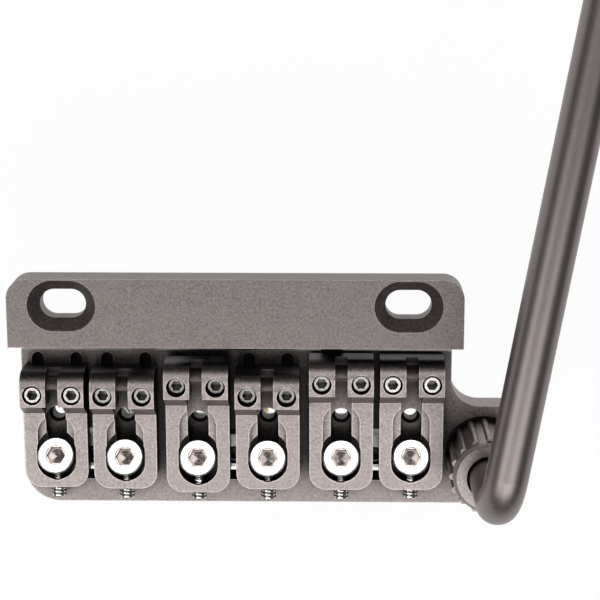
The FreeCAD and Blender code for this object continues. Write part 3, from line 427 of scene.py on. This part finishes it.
def clamp_sections():
    """Sections of a clamp screw from the drill point in its socket, over the head, to the end of its shank."""
    flats = hexagon(CORNER_RADIUS)
    inner, outer = (CORNER_RADIUS + more for more in COUNTERSINK)
    bevelled = HEAD_RADIUS - HEAD_BEVEL
    tip = -HEAD_HEIGHT - SHANK_LENGTH
    sections = [
        (-DRILL_DEPTH, CENTRE_RADIUS),
        (-SOCKET_DEPTH, DRILL_RADIUS),
        (-SOCKET_DEPTH, flats),
        (-COUNTERSINK_DEPTH, flats),
        (-COUNTERSINK_DEPTH, inner),
        (0, outer),
        (0, outer + HEAD_EASE),
        (0, bevelled - 2 * HEAD_EASE),
        (0, bevelled - HEAD_EASE),
        (-HEAD_EASE / 2, bevelled),
        (-HEAD_BEVEL, HEAD_RADIUS - HEAD_EASE / 2),
        (-HEAD_BEVEL - HEAD_EASE, HEAD_RADIUS),
        (-HEAD_BEVEL - 2 * HEAD_EASE, HEAD_RADIUS),
        (-HEAD_HEIGHT, HEAD_RADIUS),
        (-HEAD_HEIGHT, SHANK_RADIUS),
    ]
    threaded = SHANK_LENGTH - SHANK_RUNOUT
    count = int(threaded / SHANK_PITCH * THREAD_STEPS)
    for i in range(count + 1):
        z = -HEAD_HEIGHT - SHANK_START - threaded * i / count

        def wound(angle, z=z):
            return SHANK_RADIUS - SHANK_THREAD * groove(angle, z, SHANK_PITCH, *SHANK_SHAPE)

        sections.append((z, wound))
    return sections + [(tip, SHANK_RADIUS - SHANK_CHAMFER), (tip, CENTRE_RADIUS)]


def make_clamp_screws():
    """Cap screws with a drilled hex socket and a threaded shank, leaning as their nodes do."""
    lean = math.radians(CLAMP_TILT)
    turn = Matrix.Rotation(-lean, 4, "X") @ Matrix.Scale(MM, 4)
    back = (HEAD_RADIUS * math.cos(lean) - HEAD_CHAMFER * math.sin(lean)) * MM
    drop = (HEAD_RADIUS - HEAD_CHAMFER) * math.sin(lean) * MM
    sections = clamp_sections()
    for k in SADDLES:
        low, high = (Vector(c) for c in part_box(f"clamp_screw_{k}"))
        face = Vector(((low.x + high.x) / 2, high.y - back, high.z - drop))
        mesh = rod_mesh(sections, CLAMP_SIDES, Matrix.Translation(face) @ turn)
        piece = new_piece(f"cap_screw_{k}", mesh, POLISHED, f"clamp_{k}", f"clamp_screw_{k}")
        # The socket's faces take the darker, painted-shade copy of the steel.
        piece.data.materials.append(SOCKET)
        for polygon in piece.data.polygons[:SOCKET_BANDS * CLAMP_SIDES]:
            polygon.material_index = 1
        smooth(piece, HEAD_SMOOTH)


def make_springs(turns=6, wire=0.55 * MM, steps=40, sides=14):
    """A wound wire between the spring frame and its cup."""
    upward = Vector((0, 0, 1))
    for i in STUDS:
        low, high = (Vector(c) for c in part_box(f"hold_down_spring_{i}"))
        middle = (low + high) / 2
        radius = min(high.x - low.x, high.y - low.y) / 2 - wire
        bottom, top = low.z + wire, high.z - wire
        rings = []
        count = turns * steps
        for s in range(count + 1):
            angle = FULL_TURN * s / steps
            out = Vector((math.cos(angle), math.sin(angle), 0))
            centre = Vector((middle.x, middle.y, bottom + (top - bottom) * s / count)) + out * radius
            rings.append([centre + (out * math.cos(a) + upward * math.sin(a)) * wire for a in angles(sides)])
        piece = new_piece(f"wound_spring_{i}", closed_mesh(rings), SPRING_STEEL, None, f"hold_down_spring_{i}")
        smooth(piece, THREAD_SMOOTH)
        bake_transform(piece)


# Stage, lights and camera

FLOOR_DROP = 4 * MM  # below the part, since the studs sink as the carriage rocks
FLOOR_COLOUR = (0.9, 0.9, 0.9, 1)
FLOOR_GLOW = 0.95  # share of plain white that the camera and the metal see
BACKDROP_RADIUS = 3.0
BACKDROP_HEIGHT = 0.2
BACKDROP_SIDES = 64

# Place, aim and size of each soft box, and its power in watts
SOFT_BOXES = {
    "key": ((0.07, -0.27, 0.47), (0, -0.03, 0), (0.48, 0.28), 1.4),
    "left": ((-0.27, -0.15, 0.4), (-0.02, 0, 0), (0.26, 0.26), 0.7),
    "front": ((0.0, 0.29, 0.52), (0, -0.02, 0), (0.5, 0.34), 1.15),
}
WORLD_COLOUR = (0.1, 0.1, 0.102, 1)

# The photograph's camera, in pixels of a square picture, with the point straight below it in the picture
PICTURE_SIZE = 600
FOCAL_LENGTH = 1750.0
PICTURE_CENTRE = Vector((300.0, 300.0))
NADIR = Vector((339.0, -89.9))
CAMERA_ROLL = math.radians(-0.07)
CAMERA_PLACE = Vector((15.24, 57.3, 257.4)) * MM
SENSOR_WIDTH = 36  # millimetres
CLIP_START = 0.01


def pale_floor():
    """White to the camera and in the metal, apart from a share that keeps the part's shadow."""
    material = bpy.data.materials.new("pale_floor")
    material.use_nodes = True
    tree = material.node_tree
    tree.nodes.remove(tree.nodes["Principled BSDF"])

    def combine(operation, first, second):
        node = tree.nodes.new("ShaderNodeMath")
        node.operation = operation
        node.use_clamp = True
        tree.links.new(first, node.inputs[0])
        if isinstance(second, float):
            node.inputs[1].default_value = second
        else:
            tree.links.new(second, node.inputs[1])
        return node.outputs["Value"]

    lit = tree.nodes.new("ShaderNodeBsdfDiffuse")
    lit.inputs["Color"].default_value = FLOOR_COLOUR
    glow = tree.nodes.new("ShaderNodeEmission")
    glow.inputs["Color"].default_value = (1, 1, 1, 1)
    path = tree.nodes.new("ShaderNodeLightPath").outputs
    mirrored = combine("ADD", path["Is Glossy Ray"], path["Is Transmission Ray"])
    shown = combine("ADD", path["Is Camera Ray"], mirrored)
    mix = tree.nodes.new("ShaderNodeMixShader")
    tree.links.new(combine("MULTIPLY", shown, FLOOR_GLOW), mix.inputs["Fac"])
    tree.links.new(lit.outputs["BSDF"], mix.inputs[1])
    tree.links.new(glow.outputs["Emission"], mix.inputs[2])
    tree.links.new(mix.outputs["Shader"], tree.nodes["Material Output"].inputs["Surface"])
    return material


def make_floor():
    """A round floor with a low rim, so that a low view still ends in white."""
    ground = cad_box[0][2] - FLOOR_DROP
    bm = bmesh.new()
    outline = [(BACKDROP_RADIUS * math.cos(a), BACKDROP_RADIUS * math.sin(a)) for a in angles(BACKDROP_SIDES)]
    rings = [[bm.verts.new((*p, z)) for p in outline] for z in (ground, ground + BACKDROP_HEIGHT)]
    bm.faces.new(rings[0])
    join_rings(bm, rings)
    mesh = bpy.data.meshes.new("floor")
    bm.to_mesh(mesh)
    bm.free()
    mesh.materials.append(pale_floor())
    floor = bpy.data.objects.new("floor", mesh)
    bpy.context.scene.collection.objects.link(floor)


def make_lights():
    for name, (place, aim, size, power) in SOFT_BOXES.items():
        data = bpy.data.lights.new(name, "AREA")
        data.shape = "RECTANGLE"
        data.size, data.size_y = size
        data.energy = power
        lamp = bpy.data.objects.new(name, data)
        lamp.location = place
        lamp.rotation_euler = (Vector(aim) - Vector(place)).to_track_quat("-Z", "Y").to_euler()
        bpy.context.scene.collection.objects.link(lamp)
    world = bpy.data.worlds.new("studio")
    world.use_nodes = True
    background = world.node_tree.nodes["Background"]
    background.inputs["Color"].default_value = WORLD_COLOUR
    background.inputs["Strength"].default_value = 1.0
    bpy.context.scene.world = world


def make_camera():
    """A camera at the photograph's viewpoint: its lens and tilt come from the picture's vanishing lines."""
    down = Vector((*(NADIR - PICTURE_CENTRE), FOCAL_LENGTH)).normalized()
    across = Vector((math.cos(CAMERA_ROLL), math.sin(CAMERA_ROLL), 0))
    across = (across - down * across.dot(down)).normalized()
    up = -down
    rows = Matrix((across, up.cross(across), up))
    right, below, ahead = rows.col[0], rows.col[1], rows.col[2]
    data = bpy.data.cameras.new("camera")
    data.sensor_fit = "HORIZONTAL"
    data.sensor_width = SENSOR_WIDTH
    data.lens = SENSOR_WIDTH * FOCAL_LENGTH / PICTURE_SIZE
    data.clip_start = CLIP_START
    camera = bpy.data.objects.new("camera", data)
    turn = Matrix((right, -below, -ahead)).transposed()
    camera.matrix_world = Matrix.Translation(CAMERA_PLACE) @ turn.to_4x4()
    bpy.context.scene.collection.objects.link(camera)
    bpy.context.scene.camera = camera


for node_name in list(nodes):
    dress(node_name)
make_set_screws()
make_clamp_screws()
make_studs()
make_springs()
make_floor()
make_lights()
make_camera()
bpy.context.scene.view_settings.view_transform = "Standard"
